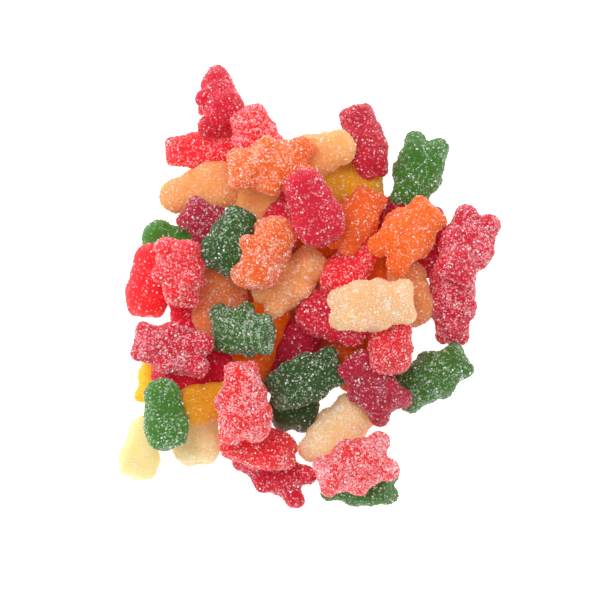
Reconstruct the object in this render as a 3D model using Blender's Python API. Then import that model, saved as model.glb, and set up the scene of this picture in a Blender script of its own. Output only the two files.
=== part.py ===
"""A loose heap of sugared jelly bears lying on a flat surface, as one closed solid out to its uneven
outline. Metres, +Z up; the origin is on the surface below the middle of the heap.

Every bear comes from one mould, a set of round masses given in bear lengths. The bears are dropped one
by one, lowest first, onto those that already lie there, and the heap is what they fill together."""

import math
from collections import namedtuple

import bmesh
import bpy
import numpy as np
from mathutils import Matrix

MM = 0.001

# Driving dimensions, in millimetres
BEAR_LENGTH = 23.5  # ears to feet, the size that a row's length factor scales
PRESS = 1.4  # how deep the skin of a soft bear gives where it touches another one
SURFACE_PRESS = 0.7  # and where it lies on the flat surface
TILTS = range(-27, 28, 9)  # degrees of pitch and roll tried for each bear
TILT_COST = 0.06  # millimetres of height that a degree of tilt must win
SKIN_SAMPLES = 240  # points that feel for contact on each round mass
CELL = 0.75  # grid of the height map on which the bears land
MAP_REACH = 90.0  # half the side of that map
PILLARS = (-0.2, 0, 0.2)  # places along a bear, in bear lengths, of the core that ties the heap together
PILLAR_RADIUS = 4.6
MOULD_VOXEL = 0.035  # in bear lengths
SOFTENING = 6  # rounds of smoothing on the mould
HEAP_VOXEL = 1.0  # grain of the joined solid
TRIANGLES = 7400  # of the joined solid
CLEAR_OF_CUT = 0.12  # no corner stays nearer than this to the underside, where the cut would sliver it
LOWEST = 27  # rows of the list that lie side by side on the surface
MIDDLE = (0.18, -0.36)  # of the finished heap's box, in the places of the list below

# Ways to lie: degrees of roll about the bear's own length, from belly up
BELLY, BACK, LEFT, RIGHT = 0, 180, -90, 90

Bear = namedtuple("Bear", "x y heading roll length girth spread taper")

# Each bear by the middle of its length in the heap (mm), the way its head points (degrees from +X
# towards +Y), how it lies, its length and girth against the typical bear, how far its limbs spread, and
# how much wider its head is than its feet.
BEARS = [
    # the ones that lie on the surface
    Bear(-29.9, 37.7, 182, BACK, 0.93, 0.87, -0.1, 0),
    Bear(10.0, 28.0, 0, BACK, 0.95, 1.0, 0, 0),
    Bear(-13.2, 23.0, 20, BACK, 0.92, 1.0, 0, 0),
    Bear(-30.5, 26.7, 195, BACK, 1.06, 0.95, -0.3, -0.35),
    Bear(30.2, 31.5, 252, BACK, 0.95, 1.03, 0.15, 0),
    Bear(23.5, 19.0, 40, BACK, 0.9, 0.9, 0, 0),
    Bear(34.0, 12.0, 95, BACK, 0.9, 0.9, -0.1, 0),
    Bear(-36.9, 10.4, 150, BACK, 0.95, 1.0, -0.3, 0),
    Bear(-34.0, -6.0, 100, BACK, 0.95, 0.8, -0.1, 0),
    Bear(-25.2, -5.0, 98, BACK, 1.0, 1.2, 0, 0),
    Bear(-14.3, -15.2, 66, BACK, 1.05, 0.95, 0, 0),
    Bear(-3.0, -16.0, 64, BACK, 0.95, 0.92, 0, 0),
    Bear(11.8, -18.6, 66, BACK, 0.95, 1.0, 0, 0),
    Bear(-11.0, 3.5, 165, BACK, 1.0, 1.05, 0, 0),
    Bear(6.5, -1.0, 112, BACK, 0.85, 0.9, 0, 0),
    Bear(4.0, 12.5, 20, BACK, 0.9, 0.95, 0, 0),
    Bear(16.6, 4.0, 98, BACK, 0.95, 0.9, 0, 0),
    Bear(27.4, -2.4, 95, BACK, 0.9, 1.15, -0.4, 0),
    Bear(39.8, -5.4, 270, BELLY, 0.97, 0.98, 0.1, -0.3),
    Bear(34.3, -25.3, 30, BACK, 1.0, 0.95, 0.2, 0),
    Bear(-42.3, -24.9, 250, BACK, 0.8, 0.95, 0.15, 0),
    Bear(-31.8, -40.8, 95, BACK, 0.88, 1.2, -0.2, 0),
    Bear(-46.8, -45.5, 80, BACK, 0.85, 1.0, -0.4, -0.15),
    Bear(-4.0, -30.6, 86, BACK, 0.93, 1.1, 0, 0),
    Bear(-10.4, -51.7, 151, BELLY, 0.98, 0.84, 0.4, 0),
    Bear(13.9, -55.3, 178, BACK, 0.95, 0.95, 0.1, 0),
    Bear(7.8, -41.5, 52, BACK, 0.97, 1.15, 0.1, 0),
    # the ones that lie on those
    Bear(15.4, 40.3, 107, BACK, 1.0, 0.87, -0.1, 0.25),
    Bear(-31.8, -24.4, 15, BACK, 1.05, 1.0, -0.2, 0),
    Bear(3.2, 36.6, 18, BACK, 0.96, 1.0, -0.4, 0),
    Bear(-7.5, 17.0, 60, BACK, 0.95, 0.95, -0.1, 0),
    Bear(-28.4, -32.4, 15, BACK, 0.95, 0.88, -0.2, 0),
    Bear(-24.2, 51.8, 104, LEFT, 0.97, 1.05, -0.4, -0.8),
    Bear(-44.7, 0.8, 84, BACK, 1.08, 0.86, -0.4, -0.1),
    Bear(-26.2, 15.5, 145, BACK, 0.95, 0.95, 0.1, 0),
    Bear(-5.1, 1.5, 42, BELLY, 1.0, 0.95, 0, 0),
    Bear(11.4, 5.3, 55, BACK, 0.95, 0.95, -0.2, 0),
    Bear(12.6, 18.6, 52, BACK, 0.9, 1.02, 0, 0),
    Bear(-38.1, -17.4, 167, BELLY, 0.97, 1.02, 0.1, 0),
    Bear(-18.8, -12.8, 355, BACK, 0.87, 1.15, 0.3, 0.1),
    Bear(-1.2, -26.0, 25, BACK, 1.0, 1.0, 0, 0.1),
    Bear(17.4, -27.9, 130, BACK, 0.97, 0.95, 0.35, 0),
    Bear(6.2, -9.2, 336, BACK, 1.02, 0.95, -0.2, 0),
    Bear(43.5, 10.6, 246, BELLY, 0.94, 1.14, 0.1, 0),
    Bear(22.3, -15.1, 270, BACK, 0.92, 1.05, -0.2, 0.45),
    Bear(-14.0, -45.0, 172, BACK, 0.96, 0.92, -0.1, 0),
    Bear(-22.0, 12.4, 66, BACK, 0.87, 1.1, -0.1, -0.3),
    Bear(-14.7, 40.6, 110, BELLY, 0.9, 1.1, -0.1, 0),
    # the ones on top
    Bear(-40.0, -36.0, 97, 195, 0.95, 0.98, -0.5, 0),
    Bear(-18.1, -32.2, 95, BACK, 1.0, 1.05, 0, -0.4),
    Bear(-35.5, 3.8, 270, BELLY, 0.9, 1.15, 0, -0.2),
    Bear(-11.6, 8.6, 66, LEFT, 1.0, 1.12, -0.1, 0),
    Bear(-10.9, 33.0, 186, BELLY, 1.04, 1.0, 0.25, 0),
    Bear(1.0, 21.3, 113, BACK, 1.02, 1.06, -0.3, 0),
    Bear(27.6, 14.6, 46, BACK, 0.97, 1.07, 0.2, 0),
    Bear(17.2, -5.4, 5, BACK, 1.04, 1.0, 0, 0.15),
    Bear(12.5, -50.2, 200, BELLY, 0.98, 1.05, 0.25, 0),
]


def round_masses(spread):
    """(centre, radii) of the masses that make a bear: +Y to its head, +Z to its belly, length 1. The spread
    moves its limbs out, and below 0 it tucks limbs and ears in."""
    masses = [
        ((0, -0.13, 0), (0.295, 0.28, 0.245)),  # belly
        ((0, 0.08, 0), (0.26, 0.19, 0.225)),  # chest
        ((0, 0.27, 0), (0.235, 0.205, 0.22)),  # head
        ((0, 0.26, 0.16), (0.13, 0.11, 0.12)),  # muzzle
    ]
    tucked = min(spread, 0)
    for side in (-1, 1):
        limbs = (
            ((0.19 + 0.15 * tucked, 0.1, 0), (0.19 + 0.17 * spread, 0.02, 0.17 - 0.14 * spread), 0.11),
            ((0.12, -0.27, -0.02), (0.115 + 0.2 * spread, -0.35 - 0.1 * spread, 0.12 - 0.1 * spread), 0.14),
        )
        for root, tip, radius in limbs:
            for share in (0, 0.5, 1):
                centre = [a + (b - a) * share for a, b in zip(root, tip)]
                masses.append(((side * centre[0], centre[1], centre[2]), (radius,) * 3))
        masses.append(((side * (0.14 + 0.2 * tucked), 0.385 + 0.15 * tucked, -0.02), (0.105,) * 3))  # ear
    return masses


FLAT_BACK = -0.2  # the level of the mould's rim, where the jelly is poured and stays flat
BACK_ROUNDING = 0.03


def flatten_back(points):
    """The points with everything below the mould's rim brought up to it, over a soft edge."""
    above = points[:, 2] - FLAT_BACK
    lifted = 0.5 * (above + np.sqrt(above**2 + BACK_ROUNDING**2)) - 0.25 * BACK_ROUNDING
    points[:, 2] = FLAT_BACK + lifted
    return points


def tapered(points, taper):
    """The points with the head made wider by the taper, or narrower where it is below 0, and the feet
    the other way."""
    wider = 1 + taper * points[:, 1]
    return points * np.stack([wider, np.ones(len(points)), wider], axis=1)


def even_sphere(count):
    """Evenly spread points of a unit sphere, along a golden-angle spiral."""
    index = np.arange(count) + 0.5
    height = 1 - 2 * index / count
    turn = index * math.pi * (3 - math.sqrt(5))
    ring = np.sqrt(1 - height**2)
    return np.stack([ring * np.cos(turn), ring * np.sin(turn), height], axis=1)


def firm_points(bear):
    """Points all over a bear's masses as far in as its soft skin gives, some of them deep inside it."""
    sphere = even_sphere(SKIN_SAMPLES)
    give = PRESS / BEAR_LENGTH
    masses = [sphere * (np.array(radii) - give) + centre for centre, radii in round_masses(bear.spread)]
    points = np.concatenate(masses)
    points[:, 2] = np.maximum(points[:, 2], FLAT_BACK + give)
    return tapered(points, bear.taper)


def turned(bear, pitch, roll):
    """The 3 x 3 matrix from the mould's frame to the heap's, for a bear tilted this much as it lies."""
    size = BEAR_LENGTH * bear.length
    turn = (
        Matrix.Rotation(math.radians(bear.heading - 90), 3, "Z")
        @ Matrix.Rotation(math.radians(pitch), 3, "X")
        @ Matrix.Rotation(math.radians(bear.roll + roll), 3, "Y")
    )
    return np.array(turn) @ np.diag([size * bear.girth, size, size * bear.girth])


def cells(points):
    """The height map's cells above which the points lie."""
    return tuple(((points[:, :2] + MAP_REACH) / CELL).astype(int).T)


def widened(heights):
    """The height map with each cell raised to the highest of its neighbours."""
    wide = heights.copy()
    for axis in (0, 1):
        for step in (-1, 1):
            wide = np.maximum(wide, np.roll(heights, step, axis))
    return wide


def settle(bears):
    """The matrix and the place (mm) of each bear. The lowest ones lie side by side on the surface, and the
    rest are dropped in turn onto the height map of those before. Each takes the tilt in which it lies lowest."""
    side = int(2 * MAP_REACH / CELL)
    level = np.full((side, side), PRESS - SURFACE_PRESS)
    ground = level
    placed = []
    for index, bear in enumerate(bears):
        below = level if index < LOWEST else ground
        firm = firm_points(bear)
        best = None
        for pitch in TILTS:
            for roll in TILTS:
                matrix = turned(bear, pitch, roll)
                points = firm @ matrix.T + (bear.x, bear.y, 0)
                height = (below[cells(points)] - points[:, 2]).max()
                cost = height + TILT_COST * (abs(pitch) + abs(roll))
                if best is None or cost < best[0]:
                    best = cost, height, matrix, points
        _, height, matrix, points = best
        own = np.zeros_like(ground)
        np.maximum.at(own, cells(points), points[:, 2] + height)
        ground = np.maximum(ground, widened(own))
        placed.append((matrix, np.array([bear.x - MIDDLE[0], bear.y - MIDDLE[1], height])))
    return placed


def mesh_object(name, mesh):
    made = bpy.data.objects.new(name, mesh)
    bpy.context.scene.collection.objects.link(made)
    return made


def evaluated_mesh(item):
    """The object's mesh with its modifiers worked in, and the modifiers gone."""
    item.data = bpy.data.meshes.new_from_object(item.evaluated_get(bpy.context.evaluated_depsgraph_get()))
    item.modifiers.clear()
    return item.data


def mould(spread):
    """The mould's shape, as vertices (length 1) and faces: its masses grown together and softened."""
    shape = bmesh.new()
    for centre, radii in round_masses(spread):
        place = Matrix.Translation(centre) @ Matrix.Diagonal((*radii, 1))
        bmesh.ops.create_uvsphere(shape, u_segments=20, v_segments=12, radius=1, matrix=place)
    mesh = bpy.data.meshes.new("mould")
    shape.to_mesh(mesh)
    shape.free()
    item = mesh_object("mould", mesh)
    grow = item.modifiers.new("one skin", "REMESH")
    grow.mode = "VOXEL"
    grow.voxel_size = MOULD_VOXEL
    soften = item.modifiers.new("soften", "SMOOTH")
    soften.iterations = SOFTENING
    mesh = evaluated_mesh(item)
    points = np.array([vertex.co for vertex in mesh.vertices])
    faces = [tuple(polygon.vertices) for polygon in mesh.polygons]
    bpy.data.objects.remove(item)
    return flatten_back(points), faces


def add_mesh(target, points, faces):
    vertices = [target.verts.new(point) for point in points]
    for face in faces:
        target.faces.new([vertices[index] for index in face])


def add_pillar(target, top):
    """A piece of the core, from just below the surface up to a point inside a bear."""
    depth = top[2] + 2 * PRESS
    place = Matrix.Translation((top[0], top[1], top[2] - depth / 2))
    round_bar = {"segments": 12, "radius1": PILLAR_RADIUS, "radius2": PILLAR_RADIUS, "depth": depth}
    bmesh.ops.create_cone(target, cap_ends=True, matrix=place, **round_bar)


def largest_body(mesh):
    """Keep the outer skin only: hollows that are shut in between bears are filled."""
    shape = bmesh.new()
    shape.from_mesh(mesh)
    shape.faces.ensure_lookup_table()
    left = set(shape.faces)
    bodies = []
    while left:
        seed = left.pop()
        body, edge = {seed}, [seed]
        while edge:
            face = edge.pop()
            for link in face.edges:
                for other in link.link_faces:
                    if other in left:
                        left.discard(other)
                        body.add(other)
                        edge.append(other)
        bodies.append(body)
    bodies.sort(key=len)
    for body in bodies[:-1]:
        bmesh.ops.delete(shape, geom=list(body), context="FACES")
    shape.to_mesh(mesh)
    shape.free()
    return mesh


def heap():
    """All bears and the core under them as one body, cut flat where it lies on the surface."""
    moulds = {}
    joined = bmesh.new()
    for bear, (matrix, place) in zip(BEARS, settle(BEARS)):
        if bear.spread not in moulds:
            moulds[bear.spread] = mould(bear.spread)
        points, faces = moulds[bear.spread]
        add_mesh(joined, tapered(points, bear.taper) @ matrix.T + place, faces)
        for share in PILLARS:
            add_pillar(joined, matrix @ (0, share, 0) + place)
    mesh = bpy.data.meshes.new("gummy_bear_heap")
    joined.to_mesh(mesh)
    joined.free()
    item = mesh_object("gummy_bear_heap", mesh)
    grow = item.modifiers.new("one skin", "REMESH")
    grow.mode = "VOXEL"
    grow.voxel_size = HEAP_VOXEL
    item.data = largest_body(evaluated_mesh(item))
    thin = item.modifiers.new("fewer faces", "DECIMATE")
    thin.ratio = TRIANGLES / (2 * len(item.data.polygons))
    for vertex in evaluated_mesh(item).vertices:
        if abs(vertex.co.z) < CLEAR_OF_CUT:
            vertex.co.z = math.copysign(CLEAR_OF_CUT, vertex.co.z)
    item.data.transform(Matrix.Scale(MM, 4))
    below = mesh_object("below_the_surface", bpy.data.meshes.new("below_the_surface"))
    slab = bmesh.new()
    bmesh.ops.create_cube(slab, size=2 * MAP_REACH * MM, matrix=Matrix.Translation((0, 0, -MAP_REACH * MM)))
    slab.to_mesh(below.data)
    slab.free()
    below.hide_render = True
    below.display_type = "WIRE"
    cut = item.modifiers.new("flat underside", "BOOLEAN")
    cut.operation = "DIFFERENCE"
    cut.object = below
    return item


def jelly():
    material = bpy.data.materials.new("sugared_jelly")
    material.use_nodes = True
    shader = material.node_tree.nodes["Principled BSDF"]
    shader.inputs["Base Color"].default_value = (0.62, 0.07, 0.06, 1)
    shader.inputs["Metallic"].default_value = 0
    shader.inputs["Roughness"].default_value = 0.45
    return material


for old in list(bpy.data.objects):
    bpy.data.objects.remove(old)
made = heap()
made.data.materials.clear()
made.data.materials.append(jelly())
made.data.shade_smooth()
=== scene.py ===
# %% [markdown]
# # A loose heap of sugared gummy bears
#
# The real thing is a handful of soft jelly bears, tipped out on a flat surface. Each is about 22 mm
# long, cast in the same mould and rolled in sugar, in eight flavours. This script dresses the plain
# solid of the heap: the real bears go over a small hidden core, and real grains of sugar go on them.
#
# The solid is one body, and everything here rides on it. Everything is in metres in the solid's own
# frame. The bears are worked out in millimetres and made smaller as they become meshes.

# %% Load the solid that everything is built around
import math
from collections import namedtuple

import bmesh
import bpy
import numpy as np
from mathutils import Matrix, Vector, noise
from mathutils.bvhtree import BVHTree


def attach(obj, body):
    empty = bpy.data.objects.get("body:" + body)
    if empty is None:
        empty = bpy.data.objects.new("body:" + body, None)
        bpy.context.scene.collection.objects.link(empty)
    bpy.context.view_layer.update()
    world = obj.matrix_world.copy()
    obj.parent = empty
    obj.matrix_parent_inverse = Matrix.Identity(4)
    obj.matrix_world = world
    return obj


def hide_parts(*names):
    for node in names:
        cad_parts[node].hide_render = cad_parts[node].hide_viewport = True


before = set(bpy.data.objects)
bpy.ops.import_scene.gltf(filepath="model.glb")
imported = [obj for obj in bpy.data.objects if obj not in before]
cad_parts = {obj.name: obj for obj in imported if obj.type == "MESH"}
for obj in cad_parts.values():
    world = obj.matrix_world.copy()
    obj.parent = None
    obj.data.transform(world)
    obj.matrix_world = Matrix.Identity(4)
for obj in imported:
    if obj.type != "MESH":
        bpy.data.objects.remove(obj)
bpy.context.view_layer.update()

NODE, BODY, SLOT = "gummy_bear_heap", "root", "sugared_jelly"
MM = 0.001

# %% [markdown]
# ## Which bears there are
#
# A heap of sweets is only convincing when each one is different. They differ in where they lie and
# which way they point, in size, in how far the limbs stand out, in how much wider the head is than
# the feet, in flavour, in how dark the jelly looks and in how much sugar holds on. So each bear is
# one row of a list, lowest first, and the rest follows from the row. The shaded tone runs from 0, a
# bear on top in full light, to 1, one that lies deep down: partly a deeper tone of the bear's own and
# partly painted shade of the heap over it. The last value is there on two bears only: the share of
# their length, from the head, that shows ridges.

# %% The list of bears
BELLY, BACK, LEFT, RIGHT = 0, 180, -90, 90  # degrees of roll about the bear's length, from belly up
# the shaded tone of a bear: 0 in full light to 1 deep down, partly its own tone and partly painted shade
Bear = namedtuple("Bear", "x y heading roll length girth spread taper flavour dark sugar ridges", defaults=(0,))
BEARS = [
    # the ones that lie on the surface
    Bear(-29.9, 37.7, 182, BACK, 0.93, 0.87, -0.1, 0, "strawberry", 0.1, 0.55),
    Bear(10.0, 28.0, 0, BACK, 0.95, 1.0, 0, 0, "lemon", 0.5, 0.5),
    Bear(-13.2, 23.0, 20, BACK, 0.92, 1.0, 0, 0, "peach", 0.1, 0.15),
    Bear(-30.5, 26.7, 195, BACK, 1.06, 0.95, -0.3, -0.35, "peach", 0.2, 0.3),
    Bear(30.2, 31.5, 252, BACK, 0.95, 1.03, 0.15, 0, "lime", 0.2, 0.4),
    Bear(23.5, 19.0, 40, BACK, 0.9, 0.9, 0, 0, "cherry", 0.6, 0.2),
    Bear(34.0, 12.0, 95, BACK, 0.9, 0.9, -0.1, 0, "cherry", 0.5, 0.3),
    Bear(-36.9, 10.4, 150, BACK, 0.95, 1.0, -0.3, 0, "lime", 0.0, 0.25),
    Bear(-34.0, -6.0, 100, BACK, 0.95, 0.8, -0.1, 0, "cherry", 0.0, 0.3),
    Bear(-25.2, -5.0, 98, BACK, 1.0, 1.2, 0, 0, "peach", 0.8, 0.4),
    Bear(-14.3, -15.2, 66, BACK, 1.05, 0.95, 0, 0, "orange", 0.0, 0.1),
    Bear(-3.0, -16.0, 64, BACK, 0.95, 0.92, 0, 0, "raspberry", 0.1, 0.2),
    Bear(11.8, -18.6, 66, BACK, 0.95, 1.0, 0, 0, "orange", 0.6, 0.2),
    Bear(-11.0, 3.5, 165, BACK, 1.0, 1.05, 0, 0, "orange", 0.9, 0.1),
    Bear(6.5, -1.0, 112, BACK, 0.85, 0.9, 0, 0, "raspberry", 0.6, 0.1),
    Bear(4.0, 12.5, 20, BACK, 0.9, 0.95, 0, 0, "orange", 0.6, 0.1),
    Bear(16.6, 4.0, 98, BACK, 0.95, 0.9, 0, 0, "orange", 0.4, 0.2),
    Bear(27.4, -2.4, 95, BACK, 0.9, 1.15, -0.4, 0, "peach", 0.55, 0.4),
    Bear(39.8, -5.4, 270, BELLY, 0.97, 0.98, 0.1, -0.3, "cherry", 0.3, 0.8),
    Bear(34.3, -25.3, 30, BACK, 1.0, 0.95, 0.2, 0, "lime", 0.3, 0.65),
    Bear(-42.3, -24.9, 250, BACK, 0.8, 0.95, 0.15, 0, "lemon", 0.0, 0.15),
    Bear(-31.8, -40.8, 95, BACK, 0.88, 1.2, -0.2, 0, "pineapple", 0.7, 0.5),
    Bear(-46.8, -45.5, 80, BACK, 0.85, 1.0, -0.4, -0.15, "pineapple", 1.0, 0.15),
    Bear(-4.0, -30.6, 86, BACK, 0.93, 1.1, 0, 0, "lime", 0.85, 0.15),
    Bear(-10.4, -51.7, 151, BELLY, 0.98, 0.84, 0.4, 0, "cherry", 0.3, 0.45),
    Bear(13.9, -55.3, 178, BACK, 0.95, 0.95, 0.1, 0, "lime", 0.3, 0.4),
    Bear(7.8, -41.5, 52, BACK, 0.97, 1.15, 0.1, 0, "pineapple", 0.2, 0.8),
    # the ones that lie on those
    Bear(15.4, 40.3, 107, BACK, 1.0, 0.87, -0.1, 0.25, "cherry", 0.5, 0.35),
    Bear(-31.8, -24.4, 15, BACK, 1.05, 1.0, -0.2, 0, "cherry", 0.2, 0.1),
    Bear(3.2, 36.6, 18, BACK, 0.96, 1.0, -0.4, 0, "peach", 0.0, 0.35),
    Bear(-7.5, 17.0, 60, BACK, 0.95, 0.95, -0.1, 0, "cherry", 0.3, 0.4),
    Bear(-28.4, -32.4, 15, BACK, 0.95, 0.88, -0.2, 0, "lemon", 0.7, 0.15),
    Bear(-24.2, 51.8, 104, LEFT, 0.97, 1.05, -0.4, -0.8, "cherry", 0.2, 0.28),
    Bear(-44.7, 0.8, 84, BACK, 1.08, 0.86, -0.4, -0.1, "strawberry", 0.0, 0.15),
    Bear(-26.2, 15.5, 145, BACK, 0.95, 0.95, 0.1, 0, "raspberry", 0.3, 0.6),
    Bear(-5.1, 1.5, 42, BELLY, 1.0, 0.95, 0, 0, "peach", 0.35, 0.5),
    Bear(11.4, 5.3, 55, BACK, 0.95, 0.95, -0.2, 0, "strawberry", 0.1, 0.6),
    Bear(12.6, 18.6, 52, BACK, 0.9, 1.02, 0, 0, "orange", 0.4, 0.3),
    Bear(-38.1, -17.4, 167, BELLY, 0.97, 1.02, 0.1, 0, "cherry", 0.2, 0.75),
    Bear(-18.8, -12.8, 355, BACK, 0.87, 1.15, 0.3, 0.1, "lime", 0.5, 0.7, 0.5),
    Bear(-1.2, -26.0, 25, BACK, 1.0, 1.0, 0, 0.1, "lime", 0.75, 0.5),
    Bear(17.4, -27.9, 130, BACK, 0.97, 0.95, 0.35, 0, "raspberry", 0.2, 0.45),
    Bear(6.2, -9.2, 336, BACK, 1.02, 0.95, -0.2, 0, "cherry", 0.3, 0.4),
    Bear(43.5, 10.6, 246, BELLY, 0.94, 1.14, 0.1, 0, "cherry", 0.1, 0.8),
    Bear(22.3, -15.1, 270, BACK, 0.92, 1.05, -0.2, 0.45, "strawberry", 0.6, 0.6),
    Bear(-14.0, -45.0, 172, BACK, 0.96, 0.92, -0.1, 0, "strawberry", 0.3, 0.6),
    Bear(-22.0, 12.4, 66, BACK, 0.87, 1.1, -0.1, -0.3, "lime", 0.7, 0.5),
    Bear(-14.7, 40.6, 110, BELLY, 0.9, 1.1, -0.1, 0, "strawberry", 0.0, 0.65, 1),
    # the ones on top
    Bear(-40.0, -36.0, 97, 195, 0.95, 0.98, -0.5, 0, "lime", 0.05, 0.55),
    Bear(-18.1, -32.2, 95, BACK, 1.0, 1.05, 0, -0.4, "strawberry", 0.15, 1.0),
    Bear(-35.5, 3.8, 270, BELLY, 0.9, 1.15, 0, -0.2, "strawberry", 0.2, 0.7),
    Bear(-11.6, 8.6, 66, LEFT, 1.0, 1.12, -0.1, 0, "orange", 0.2, 0.95),
    Bear(-10.9, 33.0, 186, BELLY, 1.04, 1.0, 0.25, 0, "orange", 0.0, 0.8),
    Bear(1.0, 21.3, 113, BACK, 1.02, 1.06, -0.3, 0, "cherry", 0.2, 0.35),
    Bear(27.6, 14.6, 46, BACK, 0.97, 1.07, 0.2, 0, "orange", 0.0, 0.4),
    Bear(17.2, -5.4, 5, BACK, 1.04, 1.0, 0, 0.15, "pineapple", 0.0, 0.7),
    Bear(12.5, -50.2, 200, BELLY, 0.98, 1.05, 0.25, 0, "strawberry", 0.1, 1.3),
]
print(len(BEARS), "bears in", len({bear.flavour for bear in BEARS}), "flavours")

# %% [markdown]
# ## The mould
#
# A gummy bear is cast lying on its back in a dent pressed into starch, so its belly side is round
# and its back is nearly flat. It has no sharp edge anywhere: belly, chest, head, muzzle, ears and
# limbs are round masses that run into each other. That could be sculpted or subdivided from a cage,
# but grown-together masses give the same soft creases with a few named sizes. They are spheres here,
# made one skin by a voxel Remesh and softened by a Smooth modifier. One bear length is 1.

# %% The masses that make a bear
def round_masses(spread):
    """(centre, radii) of each mass: +Y to the head, +Z to the belly. The spread moves the limbs out, and
    below 0 it tucks limbs and ears in, as where they are worn or turned away."""
    masses = [
        ((0, -0.13, 0), (0.295, 0.28, 0.245)),  # belly
        ((0, 0.08, 0), (0.26, 0.19, 0.225)),  # chest
        ((0, 0.27, 0), (0.235, 0.205, 0.22)),  # head
        ((0, 0.26, 0.16), (0.13, 0.11, 0.12)),  # muzzle
    ]
    tucked = min(spread, 0)
    for side in (-1, 1):
        limbs = (
            ((0.19 + 0.15 * tucked, 0.1, 0), (0.19 + 0.17 * spread, 0.02, 0.17 - 0.14 * spread), 0.11),
            ((0.12, -0.27, -0.02), (0.115 + 0.2 * spread, -0.35 - 0.1 * spread, 0.12 - 0.1 * spread), 0.14),
        )
        for root, tip, radius in limbs:
            for share in (0, 0.5, 1):
                centre = [a + (b - a) * share for a, b in zip(root, tip)]
                masses.append(((side * centre[0], centre[1], centre[2]), (radius,) * 3))
        masses.append(((side * (0.14 + 0.2 * tucked), 0.385 + 0.15 * tucked, -0.02), (0.105,) * 3))  # ear
    return masses


FLAT_BACK = -0.2  # the level of the mould's rim, where the jelly is poured and stays flat
BACK_ROUNDING = 0.03


def flatten_back(points):
    """The points with everything below the mould's rim brought up to it, over a soft edge."""
    above = points[:, 2] - FLAT_BACK
    lifted = 0.5 * (above + np.sqrt(above**2 + BACK_ROUNDING**2)) - 0.25 * BACK_ROUNDING
    points[:, 2] = FLAT_BACK + lifted
    return points


def tapered(points, taper):
    """The points with the head made wider by the taper, or narrower where it is below 0, and the feet
    the other way."""
    wider = 1 + taper * points[:, 1]
    return points * np.stack([wider, np.ones(len(points)), wider], axis=1)


print(len(round_masses(0)), "masses in a bear")

# %% Grow the masses into one skin
MOULD_VOXEL = 0.024  # in bear lengths
SOFTENING = 16  # rounds of smoothing


def mesh_object(name, mesh):
    made = bpy.data.objects.new(name, mesh)
    bpy.context.scene.collection.objects.link(made)
    return made


def evaluated_mesh(item):
    """The object's mesh with its modifiers worked in, and the modifiers gone."""
    item.data = bpy.data.meshes.new_from_object(item.evaluated_get(bpy.context.evaluated_depsgraph_get()))
    item.modifiers.clear()
    return item.data


def numbers(collection, name, width, kind=np.float32):
    """One property of everything in a mesh collection, as an array."""
    found = np.empty(len(collection) * width, kind)
    collection.foreach_get(name, found)
    return found.reshape(-1, width) if width > 1 else found


def skin_of(masses, voxel, softening):
    """One mesh grown from (centre, radii) masses."""
    shape = bmesh.new()
    for centre, radii in masses:
        place = Matrix.Translation(centre) @ Matrix.Diagonal((*radii, 1))
        bmesh.ops.create_uvsphere(shape, u_segments=28, v_segments=16, radius=1, matrix=place)
    mesh = bpy.data.meshes.new("skin")
    shape.to_mesh(mesh)
    shape.free()
    item = mesh_object("skin", mesh)
    grow = item.modifiers.new("one skin", "REMESH")
    grow.mode = "VOXEL"
    grow.voxel_size = voxel
    soften = item.modifiers.new("soften", "SMOOTH")
    soften.iterations = softening
    mesh = evaluated_mesh(item)
    bpy.data.objects.remove(item)
    return mesh


# %% [markdown]
# Sugar gathers where the skin folds in: behind the ears, between arm and belly, at the neck. Those
# places are found from the mesh itself. Where a point lies below the average of its neighbours, as
# seen along its normal, the skin is hollow there. A few rounds of averaging spread that out.

# %% Find the creases of the mould
CREASE_SPREAD = 4  # rounds of averaging
CREASE_FULL = 0.0022  # hollowness, in bear lengths, that counts as a full crease
Mould = namedtuple("Mould", "points faces creases")


def average_of_neighbours(values, edges):
    total = np.zeros_like(values)
    count = np.zeros(len(values))
    for a, b in ((0, 1), (1, 0)):
        np.add.at(total, edges[:, a], values[edges[:, b]])
        np.add.at(count, edges[:, a], 1)
    return total / (count if values.ndim == 1 else count[:, None])


def mould(spread):
    mesh = skin_of(round_masses(spread), MOULD_VOXEL, SOFTENING)
    points = flatten_back(numbers(mesh.vertices, "co", 3).astype(float))
    edges = numbers(mesh.edges, "vertices", 2, np.int32)
    normals = numbers(mesh.vertices, "normal", 3)
    hollow = ((average_of_neighbours(points, edges) - points) * normals).sum(axis=1)
    for _ in range(CREASE_SPREAD):
        hollow = average_of_neighbours(hollow, edges)
    faces = [tuple(polygon.vertices) for polygon in mesh.polygons]
    return Mould(points, np.array(faces), np.clip(hollow / CREASE_FULL, 0, 1))


moulds = {spread: mould(spread) for spread in sorted({bear.spread for bear in BEARS})}
for spread, shape in moulds.items():
    print("mould, spread", spread, len(shape.faces), "faces", round(shape.creases.mean(), 3), "crease")

# %% [markdown]
# ## How the bears come to lie
#
# The bears could fall under a physics simulation, but then nobody chooses where they land. Instead
# each is lowered in turn at its own place onto a height map of those already there, and takes the
# tilt in which it comes lowest. Soft bears press into each other, so the points that feel for
# contact sit a little inside the skin. The solid was heaped in the same way, so the bears land where
# its bulges are.

# %% Lower the bears one by one
BEAR_LENGTH = 23.5  # mm, the mould's full length, which the finished skin falls a little short of
PRESS = 1.4  # mm that the skin gives where bears touch
SURFACE_PRESS = 0.7  # and where they lie on the surface
TILTS = range(-27, 28, 9)  # degrees of pitch and roll tried for each bear
TILT_COST = 0.06  # mm of height that a degree of tilt must win
SKIN_SAMPLES = 240
CELL = 0.75  # mm, grid of the height map
MAP_REACH = 90.0  # mm, half its side
MIDDLE = (0.18, -0.36)  # mm, of the heap's box in the places of the list
LOWEST = 27  # rows of the list that lie side by side on the surface


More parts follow.
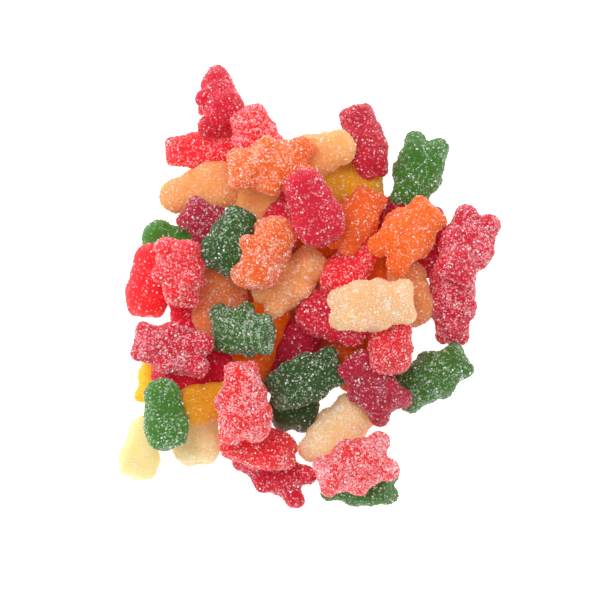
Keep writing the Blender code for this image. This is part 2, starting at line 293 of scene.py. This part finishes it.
def even_sphere(count):
    """Evenly spread points of a unit sphere, along a golden-angle spiral."""
    index = np.arange(count) + 0.5
    height = 1 - 2 * index / count
    turn = index * math.pi * (3 - math.sqrt(5))
    ring = np.sqrt(1 - height**2)
    return np.stack([ring * np.cos(turn), ring * np.sin(turn), height], axis=1)


def firm_points(bear):
    """Points all over a bear's masses as far in as its soft skin gives."""
    sphere = even_sphere(SKIN_SAMPLES)
    give = PRESS / BEAR_LENGTH
    masses = [sphere * (np.array(radii) - give) + centre for centre, radii in round_masses(bear.spread)]
    points = np.concatenate(masses)
    points[:, 2] = np.maximum(points[:, 2], FLAT_BACK + give)
    return tapered(points, bear.taper)


def turned(bear, pitch, roll):
    """The 3 x 3 matrix from the mould's frame to the heap's, for a bear tilted this much as it lies."""
    size = BEAR_LENGTH * bear.length
    turn = (
        Matrix.Rotation(math.radians(bear.heading - 90), 3, "Z")
        @ Matrix.Rotation(math.radians(pitch), 3, "X")
        @ Matrix.Rotation(math.radians(bear.roll + roll), 3, "Y")
    )
    return np.array(turn) @ np.diag([size * bear.girth, size, size * bear.girth])


def cells(points):
    return tuple(((points[:, :2] + MAP_REACH) / CELL).astype(int).T)


def widened(heights):
    wide = heights.copy()
    for axis in (0, 1):
        for step in (-1, 1):
            wide = np.maximum(wide, np.roll(heights, step, axis))
    return wide


def settle(bears):
    """The matrix and the place (mm) of each bear. The lowest ones lie side by side on the surface, and the
    rest are dropped in turn onto the height map of those before. Each takes the tilt in which it lies lowest."""
    side = int(2 * MAP_REACH / CELL)
    level = np.full((side, side), PRESS - SURFACE_PRESS)
    ground = level
    placed = []
    for index, bear in enumerate(bears):
        below = level if index < LOWEST else ground
        firm = firm_points(bear)
        best = None
        for pitch in TILTS:
            for roll in TILTS:
                matrix = turned(bear, pitch, roll)
                points = firm @ matrix.T + (bear.x, bear.y, 0)
                height = (below[cells(points)] - points[:, 2]).max()
                cost = height + TILT_COST * (abs(pitch) + abs(roll))
                if best is None or cost < best[0]:
                    best = cost, height, matrix, points
        _, height, matrix, points = best
        own = np.zeros_like(ground)
        np.maximum.at(own, cells(points), points[:, 2] + height)
        ground = np.maximum(ground, widened(own))
        placed.append((matrix, np.array([bear.x - MIDDLE[0], bear.y - MIDDLE[1], height])))
    return placed


placed = settle(BEARS)
print("the highest bear's middle is at", round(max(place[2] for _, place in placed), 1), "mm")

# %% [markdown]
# ## Lumps, ridges and a flat underside
#
# Two bears from one mould are still not alike: sugar cakes on in lumps and the jelly sags as it
# lies. Two scales of noise move the skin along its normal, with another part of the noise for each
# bear. Where a bear has ridges across it, a wave along its length moves the skin as well. Whatever
# would reach below the surface is pressed flat on it.

# %% Give each bear its own skin
LUMPS = ((6.0, 0.3), (2.2, 0.13))  # mm: size of the lumps and how far they move the skin
RIDGE_PITCH, RIDGE_HEIGHT = 2.5, 0.14  # mm
RIDGE_START = 0.15  # in bear lengths, over which the ridges rise
RESTING = 0.02  # mm above the surface, at the lowest
Skin = namedtuple("Skin", "points faces hollow")


def lumps_at(points, own):
    """How far the skin moves out at each point, from noise that is this bear's own."""
    moved = np.zeros(len(points))
    for size, height in LUMPS:
        moved += [height * noise.noise(Vector(point / size) + own) for point in points]
    return moved


def vertex_normals(points, faces):
    """Unit normals by the crossed diagonals of the four-cornered faces."""
    corners = points[faces]
    across = np.cross(corners[:, 2] - corners[:, 0], corners[:, 3] - corners[:, 1])
    normals = np.zeros_like(points)
    for corner in range(4):
        np.add.at(normals, faces[:, corner], across)
    return normals / np.linalg.norm(normals, axis=1, keepdims=True)


def bear_skin(index):
    bear, (matrix, place), shape = BEARS[index], placed[index], moulds[BEARS[index].spread]
    points = tapered(shape.points, bear.taper) @ matrix.T
    own = Vector((index * 7.3, index * 3.1, index * 5.7))
    moved = lumps_at(points, own)
    along = shape.points[:, 1]
    wave = np.cos(2 * math.pi * along * BEAR_LENGTH / RIDGE_PITCH)
    ridged = np.clip((along - 0.5 + bear.ridges) / RIDGE_START, 0, 1) if bear.ridges else np.zeros(len(along))
    moved += ridged * RIDGE_HEIGHT * wave
    points = points + vertex_normals(points, shape.faces) * moved[:, None] + place
    points[:, 2] = np.maximum(points[:, 2], RESTING)
    valleys = ridged * np.clip(-wave, 0, 1)
    return Skin(points, shape.faces, np.maximum(shape.creases, valleys))


skins = [bear_skin(index) for index in range(len(BEARS))]
print("the lowest point of all skins is at", round(float(min(skin.points[:, 2].min() for skin in skins)), 2), "mm")

# %% [markdown]
# ## What the sky sees
#
# Sugar is only worth making where someone can look: between two bears pressed together there is no
# room for it. Rays from every point of every skin towards the sky tell how open it is there. The
# share that gets away also tells where a bear lies in the shadow of the others, and there the jelly
# gets a painted glow.

# %% Measure how open each skin is
SKY = [Vector((math.cos(a) * math.cos(e), math.sin(a) * math.cos(e), math.sin(e))) for e, a in (
    [(math.radians(90), 0)]
    + [(math.radians(55), math.radians(15 + 90 * k)) for k in range(4)]
    + [(math.radians(22), math.radians(60 * k)) for k in range(6)])]
LIFT = 0.25  # mm off the skin where a ray starts


def heap_tree():
    points = np.concatenate([skin.points for skin in skins])
    starts = np.cumsum([0] + [len(skin.points) for skin in skins])
    faces = np.concatenate([skin.faces + start for skin, start in zip(skins, starts)])
    return BVHTree.FromPolygons(points.tolist(), faces.tolist())


def openness(skin, tree):
    """The share of the sky directions that each point of a skin sees."""
    normals = vertex_normals(skin.points, skin.faces)
    starts = skin.points + normals * LIFT
    seen = np.zeros(len(starts))
    for ray in SKY:
        facing = np.nonzero(normals @ np.array(ray) > 0.05)[0]
        for index in facing:
            if tree.ray_cast(Vector(starts[index]), ray)[0] is None:
                seen[index] += 1
    return seen / len(SKY)


tree = heap_tree()
open_sky = [openness(skin, tree) for skin in skins]
print("open to the sky on average:", round(float(np.mean(np.concatenate(open_sky))), 3))

# %% [markdown]
# ## The flavours
#
# Jelly is clear and strongly coloured. On top of the heap it is lit through and looks bright; deep
# down it lies in shade and looks dark and a little brown. So each flavour has two colours, a lit one
# and a shaded tone, and a bear's shaded tone mixes them: partly a tone of its own and partly painted
# shade. A third is the sugar that lies on it: sugar is white, but so clear that it takes on the colour
# under it.

# %% Name the colours
def tint(red, green, blue):
    """A colour in everyday values from 0 to 255, as the linear ones that a shader takes."""
    return tuple(((value / 255 + 0.055) / 1.055) ** 2.4 for value in (red, green, blue)) + (1,)


# each flavour: the jelly lit through, a shaded tone that is partly its own (paler for pineapple) and partly painted
# shade, and its sugar
Flavour = namedtuple("Flavour", "light dark sugar")
FLAVOURS = {
    "strawberry": Flavour(tint(250, 32, 42), tint(204, 24, 36), tint(255, 212, 216)),
    "cherry": Flavour(tint(224, 6, 48), tint(160, 12, 36), tint(252, 198, 210)),
    "raspberry": Flavour(tint(188, 16, 50), tint(120, 14, 36), tint(236, 176, 196)),
    "orange": Flavour(tint(255, 108, 12), tint(196, 62, 16), tint(255, 220, 190)),
    "lime": Flavour(tint(68, 130, 28), tint(40, 54, 26), tint(196, 222, 188)),
    "peach": Flavour(tint(250, 180, 106), tint(224, 104, 52), tint(255, 248, 236)),
    "lemon": Flavour(tint(255, 196, 12), tint(206, 118, 6), tint(255, 236, 190)),
    "pineapple": Flavour(tint(255, 198, 140), tint(252, 232, 164), tint(255, 252, 244)),
}
print(len(FLAVOURS), "flavours:", ", ".join(FLAVOURS))

# %% [markdown]
# ## What every jelly has in common
#
# Each flavour is a material of its own, but they share two effects, so these are node groups. The
# first mixes the jelly's two colours by the bear's shaded tone, partly its own tone and partly painted
# shade, with a faint cloudiness. It also gives a painted glow: the jelly's colour as emission where it
# sees little of the sky, in place of light through its neighbours. The second is the sugar dust: the
# finest crystals, too small and too many to model. It lies everywhere in a grain of two sizes, thicker
# in patches and thickest in the creases.

# %% Tools for building node trees
def node_group(name, inputs, outputs):
    """A shader node group with named sockets, and its input and output nodes."""
    group = bpy.data.node_groups.new(name, "ShaderNodeTree")
    for label, kind in inputs:
        group.interface.new_socket(label, in_out="INPUT", socket_type=kind)
    for label, kind in outputs:
        group.interface.new_socket(label, in_out="OUTPUT", socket_type=kind)
    return group, group.nodes.new("NodeGroupInput"), group.nodes.new("NodeGroupOutput")


def add(tree, kind, links=(), **settings):
    """A node with its settings, and its inputs filled from values or from other nodes' outputs."""
    node = tree.nodes.new(kind)
    for name, value in settings.items():
        setattr(node, name, value)
    for socket, source in dict(links).items():
        if isinstance(source, bpy.types.NodeSocket):
            tree.links.new(source, node.inputs[socket])
        else:
            node.inputs[socket].default_value = source
    return node


def attribute(tree, name):
    return add(tree, "ShaderNodeAttribute", attribute_name=name).outputs["Fac"]


def math_of(tree, operation, first, second=0.0, third=0.0):
    links = {0: first, 1: second, 2: third}
    return add(tree, "ShaderNodeMath", links, operation=operation).outputs[0]


def mixed(tree, share, first, second):
    """A blend of two colours."""
    node = tree.nodes.new("ShaderNodeMix")
    node.data_type = "RGBA"
    for socket, source in ((0, share), (6, first), (7, second)):
        if isinstance(source, bpy.types.NodeSocket):
            tree.links.new(source, node.inputs[socket])
        else:
            node.inputs[socket].default_value = source
    return node.outputs[2]


# %% The jelly's colour
CLOUD_SIZE = 0.006  # m
CLOUD_STRENGTH = 0.3  # how far clouds move a bear's darkness


def build_jelly_colour():
    inputs = (("Light", "NodeSocketColor"), ("Dark", "NodeSocketColor"))
    outputs = (("Colour", "NodeSocketColor"), ("Painted_glow", "NodeSocketColor"))
    group, given, result = node_group("jelly_colour", inputs, outputs)
    place = add(group, "ShaderNodeTexCoord").outputs["Object"]
    clouds = add(group, "ShaderNodeTexNoise", {"Vector": place, "Scale": 1 / CLOUD_SIZE, "Detail": 2.0})
    shift = math_of(group, "MULTIPLY_ADD", clouds.outputs["Fac"], CLOUD_STRENGTH, -CLOUD_STRENGTH / 2)
    # the shaded tone, partly the bear's own tone and partly painted shade, moved at random by the clouds
    dark = math_of(group, "ADD", attribute(group, "dark"), shift)
    dark = add(group, "ShaderNodeClamp", {"Value": dark}).outputs[0]
    colour = mixed(group, dark, given.outputs["Light"], given.outputs["Dark"])
    # painted glow: the jelly's colour, as strong as the point is covered from the sky
    painted_glow_share = math_of(group, "SUBTRACT", 1.0, attribute(group, "sky"))
    group.links.new(colour, result.inputs["Colour"])
    group.links.new(mixed(group, painted_glow_share, (0, 0, 0, 1), colour), result.inputs["Painted_glow"])
    return group


jelly_colour = build_jelly_colour()
print("group", jelly_colour.name, "has", len(jelly_colour.nodes), "nodes")

# %% The sugar dust
DUST_GRAIN = 0.00042  # m, between the specks that show
FINE_GRAIN = 0.0002  # m
PATCH_SIZE = 0.0045  # m
FILM = 0.24  # how much the dust whitens a fully sugared bear all over
CREASE_DUST = 0.6  # how much more it does in a crease
SPECK_COVER, FILM_COVER = 0.65, 0.12  # how well a speck covers the jelly, and the film between specks


def build_sugar_dust():
    outputs = (("Cover", "NodeSocketFloat"), ("Height", "NodeSocketFloat"), ("Roughness", "NodeSocketFloat"))
    group, _, result = node_group("sugar_dust", (), outputs)
    place = add(group, "ShaderNodeTexCoord").outputs["Object"]
    specks = add(group, "ShaderNodeTexVoronoi", {"Vector": place, "Scale": 1 / DUST_GRAIN})
    fine = add(group, "ShaderNodeTexVoronoi", {"Vector": place, "Scale": 1 / FINE_GRAIN})
    patches = add(group, "ShaderNodeTexNoise", {"Vector": place, "Scale": 1 / PATCH_SIZE, "Detail": 3.0})
    sugar = attribute(group, "sugar")
    patchy = add(group, "ShaderNodeMapRange", {"Value": patches.outputs["Fac"], "From Min": 0.4, "From Max": 0.7})
    film = math_of(group, "MULTIPLY_ADD", patchy.outputs[0], 1.6, 0.3)
    film = math_of(group, "MULTIPLY", film, math_of(group, "POWER", sugar, 1.5))
    film = math_of(group, "MULTIPLY", film, FILM)
    crease = math_of(group, "MULTIPLY", attribute(group, "hollow"), math_of(group, "MULTIPLY", sugar, CREASE_DUST))
    amount = math_of(group, "ADD", film, crease)
    # each cell of the grain is a crystal that shows or doesn't, more of them where there is more sugar
    apart = add(group, "ShaderNodeSeparateColor", {"Color": specks.outputs["Color"]})
    shows = math_of(group, "SUBTRACT", math_of(group, "MULTIPLY", amount, 1.6), apart.outputs["Red"])
    shows = add(group, "ShaderNodeMapRange", {"Value": shows, "From Min": -0.1, "From Max": 0.1}).outputs[0]
    cover = math_of(group, "MULTIPLY_ADD", shows, SPECK_COVER, math_of(group, "MULTIPLY", amount, FILM_COVER))
    cover = add(group, "ShaderNodeClamp", {"Value": cover}).outputs[0]
    height = math_of(group, "ADD", specks.outputs["Distance"], fine.outputs["Distance"])
    rough = math_of(group, "MULTIPLY_ADD", cover, 0.35, 0.38)
    for label, source in (("Cover", cover), ("Height", height), ("Roughness", rough)):
        group.links.new(source, result.inputs[label])
    return group


sugar_dust = build_sugar_dust()
print("group", sugar_dust.name, "has", len(sugar_dust.nodes), "nodes")

# %% [markdown]
# ## The jelly materials
#
# Light goes into jelly, wanders a few millimetres and comes out again coloured. Subsurface scattering
# does that. Its constants go straight on the shader. Red light travels furthest in sweets of a warm
# colour, so the radius of each colour follows the flavour's own light colour.

# %% Make a jelly for each flavour
THROUGH = 0.85  # share of the light that goes through the skin
WANDER = 0.005  # m
BUMP = 0.00022  # m
SHINE = 0.3  # the dull skin between the grains, against 0.5 for clean jelly
EDGE_SHEEN_AND_SUGAR = 0.3  # how much whiter the skin gets where it turns away from the view: partly painted sheen, partly more sugar seen edge-on
PAINTED_GLOW = 0.15  # strength of the painted glow: emission that brightens jelly covered by its neighbours, in place of the light that comes through them


def jelly(name, flavour):
    material = bpy.data.materials.new(name)
    material.use_nodes = True
    tree = material.node_tree
    shader = tree.nodes["Principled BSDF"]
    colour = add(tree, "ShaderNodeGroup", node_tree=jelly_colour)
    colour.inputs["Light"].default_value = flavour.light
    colour.inputs["Dark"].default_value = flavour.dark
    dust = add(tree, "ShaderNodeGroup", node_tree=sugar_dust)
    # whiter rims where the skin turns away from the view: partly painted sheen, partly more sugar seen edge-on
    facing = add(tree, "ShaderNodeLayerWeight", {"Blend": 0.4}).outputs["Facing"]
    sheen_and_sugar_edge = math_of(tree, "MULTIPLY", math_of(tree, "MULTIPLY", facing, facing), attribute(tree, "sugar"))
    cover = math_of(tree, "MULTIPLY_ADD", sheen_and_sugar_edge, EDGE_SHEEN_AND_SUGAR, dust.outputs["Cover"])
    cover = add(tree, "ShaderNodeClamp", {"Value": cover}).outputs[0]
    sugared = mixed(tree, cover, colour.outputs["Colour"], flavour.sugar)
    bump = add(tree, "ShaderNodeBump", {"Height": dust.outputs["Height"], "Distance": BUMP, "Strength": 0.8})
    tree.links.new(sugared, shader.inputs["Base Color"])
    tree.links.new(dust.outputs["Roughness"], shader.inputs["Roughness"])
    tree.links.new(bump.outputs["Normal"], shader.inputs["Normal"])
    # painted glow: the jelly gives off light where its neighbours cover it, though it is no lamp
    tree.links.new(colour.outputs["Painted_glow"], shader.inputs["Emission Color"])
    shader.inputs["Emission Strength"].default_value = PAINTED_GLOW
    shader.inputs["Subsurface Weight"].default_value = THROUGH
    shader.inputs["Subsurface Scale"].default_value = WANDER
    shader.inputs["Subsurface Radius"].default_value = [0.25 + 0.75 * part for part in flavour.light[:3]]
    shader.inputs["IOR"].default_value = 1.45
    shader.inputs["Specular IOR Level"].default_value = SHINE
    return material


jellies = {name: jelly(name + "_jelly", flavour) for name, flavour in FLAVOURS.items()}
print(len(jellies), "jellies")

# %% [markdown]
# ## The bears as pieces
#
# All bears of a flavour are one piece. What a material or the sugar needs to know about a single
# bear travels as attributes on its points: its shaded tone, partly its own tone and partly painted
# shade, how sugared it is, where its creases are and how open each point lies.

# %% Join the skins of each flavour
def joined_skins(name, chosen):
    """One mesh of the chosen bears, with what the finishes need as attributes."""
    points = np.concatenate([skins[index].points for index in chosen])
    starts = np.cumsum([0] + [len(skins[index].points) for index in chosen])
    faces = np.concatenate([skins[index].faces + start for index, start in zip(chosen, starts)])
    mesh = bpy.data.meshes.new(name)
    mesh.from_pydata((points * MM).tolist(), [], faces.tolist())
    per_point = {
        # each bear's shaded tone: partly its own tone, partly painted shade
        "dark": [np.full(len(skins[index].points), BEARS[index].dark) for index in chosen],
        "sugar": [np.full(len(skins[index].points), BEARS[index].sugar) for index in chosen],
        "hollow": [skins[index].hollow for index in chosen],
        "sky": [open_sky[index] for index in chosen],
    }
    for label, values in per_point.items():
        layer = mesh.attributes.new(label, "FLOAT", "POINT")
        layer.data.foreach_set("value", np.concatenate(values).astype(np.float32))
    mesh.shade_smooth()
    return mesh_object(name, mesh)


def belongs(piece):
    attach(piece, BODY)
    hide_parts(NODE)
    return piece


bears_of = {}
for name in FLAVOURS:
    chosen = [index for index, bear in enumerate(BEARS) if bear.flavour == name]
    piece = joined_skins(name + "_bears", chosen)
    piece.data.materials.append(jellies[name])
    bears_of[name] = belongs(piece)
    print(piece.name, len(chosen), "bears", 2 * len(piece.data.polygons), "triangles")

# %% [markdown]
# ## The sugar grains
#
# Grains of sugar are little boxes, 0.1 to 0.5 mm, each turned its own way and half sunk in the skin.
# Tens of thousands are wanted, so Geometry Nodes scatter them: points at random over the skin, more
# where it is open, more in creases and on well sugared bears, and a box on each. The boxes are
# realised as plain mesh. Each keeps a random whiteness, because a clear crystal looks white or takes
# its bear's colour, by how the light falls through it.

# %% A node tree that scatters grains
GRAIN_INPUTS = (
    ("Grains per m2", "NodeSocketFloat"),
    ("Smallest", "NodeSocketFloat"),
    ("Largest", "NodeSocketFloat"),
    ("Seed", "NodeSocketInt"),
    ("Finish", "NodeSocketMaterial"),
)
WHITE_SIZE = 0.5  # the whitest grains are this share of the mean larger than the clearest


def build_grain_tree():
    tree = bpy.data.node_groups.new("scattered_grains", "GeometryNodeTree")
    tree.interface.new_socket("Geometry", in_out="INPUT", socket_type="NodeSocketGeometry")
    for label, kind in GRAIN_INPUTS:
        tree.interface.new_socket(label, in_out="INPUT", socket_type=kind)
    tree.interface.new_socket("Geometry", in_out="OUTPUT", socket_type="NodeSocketGeometry")
    given = tree.nodes.new("NodeGroupInput").outputs
    result = tree.nodes.new("NodeGroupOutput")
    amount = add(tree, "GeometryNodeInputNamedAttribute", {"Name": "amount"}, data_type="FLOAT").outputs[0]
    density = add(tree, "ShaderNodeMath", {0: amount, 1: given["Grains per m2"]}, operation="MULTIPLY").outputs[0]
    spots = add(tree, "GeometryNodeDistributePointsOnFaces",
        {"Mesh": given["Geometry"], "Density": density, "Seed": given["Seed"]}).outputs["Points"]
    box = add(tree, "GeometryNodeMeshCube", {"Size": (1, 1, 1)}).outputs["Mesh"]
    turn = add(tree, "FunctionNodeRandomValue", {1: (math.tau,) * 3, "Seed": 1}, data_type="FLOAT_VECTOR").outputs[0]
    stretch = add(tree, "FunctionNodeRandomValue",
        {0: (0.7,) * 3, 1: (1.3,) * 3, "Seed": 2}, data_type="FLOAT_VECTOR").outputs[0]
    size = add(tree, "FunctionNodeRandomValue",
        {2: given["Smallest"], 3: given["Largest"], "Seed": 3}, data_type="FLOAT").outputs[1]
    white = add(tree, "FunctionNodeRandomValue", {2: 0.0, 3: 1.0, "Seed": 4}, data_type="FLOAT").outputs[1]
    big = add(tree, "ShaderNodeMath", {0: white, 1: WHITE_SIZE, 2: 1 - WHITE_SIZE / 2},
        operation="MULTIPLY_ADD").outputs[0]
    size = add(tree, "ShaderNodeMath", {0: size, 1: big}, operation="MULTIPLY").outputs[0]
    scale = add(tree, "ShaderNodeVectorMath", {0: stretch, "Scale": size}, operation="SCALE").outputs[0]
    grains = add(tree, "GeometryNodeInstanceOnPoints",
        {"Points": spots, "Instance": box, "Rotation": turn, "Scale": scale}).outputs[0]
    marked = add(tree, "GeometryNodeStoreNamedAttribute",
        {"Geometry": grains, "Name": "white", "Value": white}, data_type="FLOAT", domain="INSTANCE").outputs[0]
    plain = add(tree, "GeometryNodeRealizeInstances", {"Geometry": marked}).outputs[0]
    finished = add(tree, "GeometryNodeSetMaterial", {"Geometry": plain, "Material": given["Finish"]}).outputs[0]
    tree.links.new(finished, result.inputs["Geometry"])
    return tree


grain_tree = build_grain_tree()
print("tree", grain_tree.name, "has", len(grain_tree.nodes), "nodes")

# %% The sugar's own finish
RAREST, COMMONEST = 6.5, 2.0  # powers of the random whiteness: on thin sugar few grains look white
FROST_PATCH = 0.004  # m, size of the patches where sugar is thick and white


def sugar(name, flavour):
    """Clear crystals: near white, or tinted by the jelly they sit in."""
    material = bpy.data.materials.new(name)
    material.use_nodes = True
    tree = material.node_tree
    shader = tree.nodes["Principled BSDF"]
    colour = add(tree, "ShaderNodeGroup", node_tree=jelly_colour)
    colour.inputs["Light"].default_value = flavour.light
    colour.inputs["Dark"].default_value = flavour.dark
    place = add(tree, "ShaderNodeTexCoord").outputs["Object"]
    patches = add(tree, "ShaderNodeTexNoise", {"Vector": place, "Scale": 1 / FROST_PATCH, "Detail": 2.0})
    patchy = add(tree, "ShaderNodeMapRange", {"Value": patches.outputs["Fac"], "From Min": 0.42, "From Max": 0.66})
    thick = add(tree, "ShaderNodeMapRange", {"Value": attribute(tree, "sugar"), "From Min": 0.3, "From Max": 0.9})
    frost = math_of(tree, "MULTIPLY", patchy.outputs[0], thick.outputs[0])
    power = math_of(tree, "MULTIPLY_ADD", frost, COMMONEST - RAREST, RAREST)
    share = math_of(tree, "POWER", attribute(tree, "white"), power)
    tinted = mixed(tree, share, colour.outputs["Colour"], (1, 1, 1, 1))
    tree.links.new(tinted, shader.inputs["Base Color"])
    shader.inputs["Roughness"].default_value = 0.2
    shader.inputs["IOR"].default_value = 1.54
    return material


sugars = {name: sugar("sugar_on_" + name, flavour) for name, flavour in FLAVOURS.items()}
print(len(sugars), "finishes of sugar")

# %% Scatter the grains on each flavour
GRAINS_PER_M2 = 4.6e6  # on a fully sugared, open skin
SMALLEST, LARGEST = 0.00016, 0.00034  # m


def grain_amounts(chosen):
    """Where grains sit, 0 to 1 and a little over, at each point of the chosen skins."""
    amounts = []
    for index in chosen:
        bear, skin = BEARS[index], skins[index]
        opened = np.clip(open_sky[index] * 6, 0, 1)
        amounts.append(opened * (0.1 + 0.9 * bear.sugar**0.8) * (0.75 + 0.7 * skin.hollow))
    return np.concatenate(amounts)


def scatter(name, chosen, seed):
    host = bears_of[name].copy()
    host.data = bears_of[name].data.copy()
    bpy.context.scene.collection.objects.link(host)
    layer = host.data.attributes.new("amount", "FLOAT", "POINT")
    layer.data.foreach_set("value", grain_amounts(chosen).astype(np.float32))
    modifier = host.modifiers.new("grains", "NODES")
    modifier.node_group = grain_tree
    values = dict(zip([label for label, _ in GRAIN_INPUTS], (GRAINS_PER_M2, SMALLEST, LARGEST, seed, sugars[name])))
    for socket in grain_tree.interface.items_tree:
        if socket.in_out == "INPUT" and socket.name in values:
            modifier[socket.identifier] = values[socket.name]
    mesh = evaluated_mesh(host)
    mesh.name = name + "_sugar"
    bpy.data.objects.remove(host)
    mesh.materials.clear()
    mesh.materials.append(sugars[name])
    mesh.polygons.foreach_set("material_index", np.zeros(len(mesh.polygons), np.int32))
    return mesh


for seed, name in enumerate(FLAVOURS):
    chosen = [index for index, bear in enumerate(BEARS) if bear.flavour == name]
    mesh = scatter(name, chosen, seed)
    piece = belongs(mesh_object(name + "_sugar", mesh))
    print(piece.name, len(mesh.polygons) // 6, "grains", 2 * len(mesh.polygons), "triangles")

# %% [markdown]
# ## The core
#
# Between the lowest bears one looks through to the middle of the heap. There the jelly of all bears
# mixes to a reddish brown, with hardly any sugar left on it, and is made dark as painted shade of the
# heap above. A core as in the solid does that: round bars under each bear, grown together with a flat
# bed in the middle. The bars are lower and thinner than in the solid, and none stand near the rim, so
# that the core only shows in the gaps.

# %% Grow the core
CORE_RADII = (3.2, 6.0)  # mm, of the bars at the rim and in the middle
CORE_HEIGHT = 20.0  # mm, of the mound that the core stays inside
CORE_REACH = (48.0, 56.0)  # mm, half the mound's width along X and Y
CORE_RIM = 0.45  # bars that are further out than this, from 1 in the middle to 0 at the reach, are left out
BED_MIDDLE, BED_REACH, BED_HEIGHT = (-7.0, -5.0), (17.0, 26.0), 3.0  # mm, of the flat bed in the middle
CORE_VOXEL = 0.8  # mm
CORE_SOFTENING = 8
CORE_SHARE = 0.7  # of the height of each bear's middle
PILLARS = (-0.2, 0, 0.2)  # places along a bear, in bear lengths


def grow_core():
    shape = bmesh.new()
    for matrix, place in placed:
        for share in PILLARS:
            top = matrix @ (0, share, 0) + place
            inward = max(1 - (top[0] / CORE_REACH[0]) ** 2 - (top[1] / CORE_REACH[1]) ** 2, 0)
            if inward < CORE_RIM:
                continue
            radius = CORE_RADII[0] + (CORE_RADII[1] - CORE_RADII[0]) * inward
            depth = min(top[2] * CORE_SHARE, CORE_HEIGHT * inward) - RESTING
            at = Matrix.Translation((top[0], top[1], RESTING + depth / 2))
            bmesh.ops.create_cone(shape, cap_ends=True, segments=16, radius1=radius,
                radius2=radius, depth=depth, matrix=at)
    bed = Matrix.Translation((*BED_MIDDLE, 0)) @ Matrix.Diagonal((*BED_REACH, BED_HEIGHT, 1))
    bmesh.ops.create_uvsphere(shape, u_segments=32, v_segments=16, radius=1, matrix=bed)
    mesh = bpy.data.meshes.new("core")
    shape.to_mesh(mesh)
    shape.free()
    item = mesh_object("core", mesh)
    grow = item.modifiers.new("one skin", "REMESH")
    grow.mode = "VOXEL"
    grow.voxel_size = CORE_VOXEL
    soften = item.modifiers.new("soften", "SMOOTH")
    soften.iterations = CORE_SOFTENING
    mesh = evaluated_mesh(item)
    points = numbers(mesh.vertices, "co", 3)
    points[:, 2] = np.maximum(points[:, 2], RESTING)
    mesh.vertices.foreach_set("co", (points * MM).ravel())
    # the core is half way to its shaded tone: painted shade deep in the heap
    for label, value in (("dark", 0.5), ("sugar", 0.15)):
        layer = mesh.attributes.new(label, "FLOAT", "POINT")
        layer.data.foreach_set("value", np.full(len(points), value, np.float32))
    mesh.shade_smooth()
    return item


# the core's jelly: a reddish brown mix of the flavours, darkened as painted shade for the gaps; with no sky
# attribute it also takes the full painted glow
SHADED_CORE = Flavour(tint(214, 100, 60), tint(150, 56, 34), tint(255, 214, 196))
core = grow_core()
core.data.materials.append(jelly("shaded_mixed_jelly", SHADED_CORE))
belongs(core)
print("core:", len(core.data.polygons), "faces")

# %% [markdown]
# ## Surface, light and camera
#
# The heap lies on a plain white surface in soft light from all around, with one large lamp above and
# a little to the side, so that the sugar glints. The camera looks straight down from far away with a
# long lens, which keeps every bear its true size.

# %% Lay the surface
SURFACE_REACH = 3.0  # m
SURFACE_GLOW = 0.9  # a light table: it is lit from below as well, which softens the shadows


def surface():
    mesh = bpy.data.meshes.new("surface")
    corners = [(-1, -1), (1, -1), (1, 1), (-1, 1)]
    mesh.from_pydata([(x * SURFACE_REACH, y * SURFACE_REACH, 0) for x, y in corners], [], [(0, 1, 2, 3)])
    material = bpy.data.materials.new("white_surface")
    material.use_nodes = True
    tree = material.node_tree
    shader = tree.nodes["Principled BSDF"]
    place = add(tree, "ShaderNodeTexCoord").outputs["Object"]
    grain = add(tree, "ShaderNodeTexNoise", {"Vector": place, "Scale": 400.0, "Detail": 3.0}).outputs["Fac"]
    tree.links.new(mixed(tree, grain, (0.93, 0.93, 0.93, 1), (0.97, 0.97, 0.97, 1)), shader.inputs["Base Color"])
    shader.inputs["Roughness"].default_value = 0.9
    shader.inputs["Emission Color"].default_value = (1, 1, 1, 1)
    shader.inputs["Emission Strength"].default_value = SURFACE_GLOW
    mesh.materials.append(material)
    return mesh_object("surface", mesh)


surface()

# %% Light it
SKY_LIGHT = 0.85
LAMP_WATTS, LAMP_SIZE, LAMP_PLACE = 5.0, 0.5, (-0.35, 0.35, 0.9)  # W, m, m


def lights():
    world = bpy.data.worlds.new("soft_white")
    world.use_nodes = True
    backdrop = world.node_tree.nodes["Background"]
    backdrop.inputs["Color"].default_value = (1, 1, 1, 1)
    backdrop.inputs["Strength"].default_value = SKY_LIGHT
    bpy.context.scene.world = world
    lamp = bpy.data.lights.new("large_lamp", "AREA")
    lamp.size = LAMP_SIZE
    lamp.energy = LAMP_WATTS
    holder = bpy.data.objects.new("large_lamp", lamp)
    holder.location = LAMP_PLACE
    holder.rotation_euler = Vector(LAMP_PLACE).to_track_quat("Z", "Y").to_euler()
    bpy.context.scene.collection.objects.link(holder)


lights()

# %% Look straight down on it
DISTANCE = 1.5  # m
VIEW_WIDTH = 0.1668  # m across the picture at the surface
VIEW_CENTRE = (-0.00282, -0.00367)  # m
SENSOR = 36.0  # mm


def camera():
    lens = bpy.data.cameras.new("camera")
    lens.sensor_width = SENSOR
    lens.lens = SENSOR * DISTANCE / VIEW_WIDTH
    holder = bpy.data.objects.new("camera", lens)
    holder.location = (*VIEW_CENTRE, DISTANCE + 0.01)
    bpy.context.scene.collection.objects.link(holder)
    bpy.context.scene.camera = holder


camera()
bpy.context.scene.view_settings.view_transform = "Standard"
print("lens", round(bpy.context.scene.camera.data.lens, 1), "mm")
